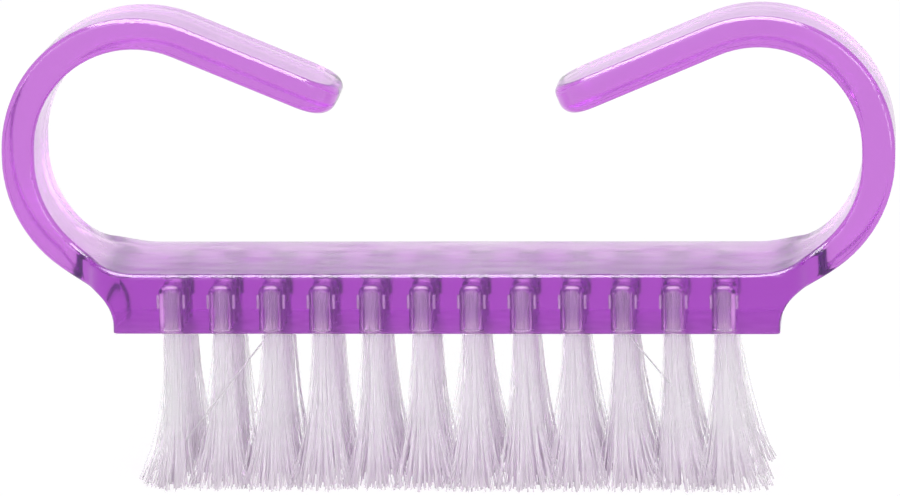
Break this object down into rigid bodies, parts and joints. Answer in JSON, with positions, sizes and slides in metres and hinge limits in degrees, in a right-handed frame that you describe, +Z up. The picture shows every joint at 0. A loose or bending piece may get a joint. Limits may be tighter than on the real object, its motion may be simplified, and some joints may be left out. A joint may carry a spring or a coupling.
{
  "type": "nail brush",
  "caption": "Small nail brush: a clear moulded block with a curled finger grip rising from each end, and rows of nylon tufts stapled into its underside.",
  "frame": {"origin": "middle of the plane that the bristle tips are trimmed to", "axes": "+X along the block from grip to grip, +Y across the block away from the front, +Z up from the bristle tips to the grips"},
  "size_m": [0.0652, 0.013, 0.0347],
  "materials": {
    "body_plastic": "clear tinted moulding with polished faces",
    "bristle_nylon": "translucent straight nylon filaments",
    "anchor_wire": "flat drawn wire"
  },
  "bodies": {
    "root": {"brush_body": "body_plastic", "tuft_front_01": "bristle_nylon", "tuft_front_02": "bristle_nylon", "tuft_front_03": "bristle_nylon", "tuft_front_04": "bristle_nylon", "tuft_front_05": "bristle_nylon", "tuft_front_06": "bristle_nylon", "tuft_front_07": "bristle_nylon", "tuft_front_08": "bristle_nylon", "tuft_front_09": "bristle_nylon", "tuft_front_10": "bristle_nylon", "tuft_front_11": "bristle_nylon", "tuft_front_12": "bristle_nylon", "tuft_middle_01": "bristle_nylon", "tuft_middle_02": "bristle_nylon", "tuft_middle_03": "bristle_nylon", "tuft_middle_04": "bristle_nylon", "tuft_middle_05": "bristle_nylon", "tuft_middle_06": "bristle_nylon", "tuft_middle_07": "bristle_nylon", "tuft_middle_08": "bristle_nylon", "tuft_middle_09": "bristle_nylon", "tuft_middle_10": "bristle_nylon", "tuft_middle_11": "bristle_nylon", "tuft_middle_12": "bristle_nylon", "tuft_rear_01": "bristle_nylon", "tuft_rear_02": "bristle_nylon", "tuft_rear_03": "bristle_nylon", "tuft_rear_04": "bristle_nylon", "tuft_rear_05": "bristle_nylon", "tuft_rear_06": "bristle_nylon", "tuft_rear_07": "bristle_nylon", "tuft_rear_08": "bristle_nylon", "tuft_rear_09": "bristle_nylon", "tuft_rear_10": "bristle_nylon", "tuft_rear_11": "bristle_nylon", "tuft_rear_12": "bristle_nylon", "anchor_staples_front": "anchor_wire", "anchor_staples_middle": "anchor_wire", "anchor_staples_rear": "anchor_wire"}
  },
  "joints": []
}
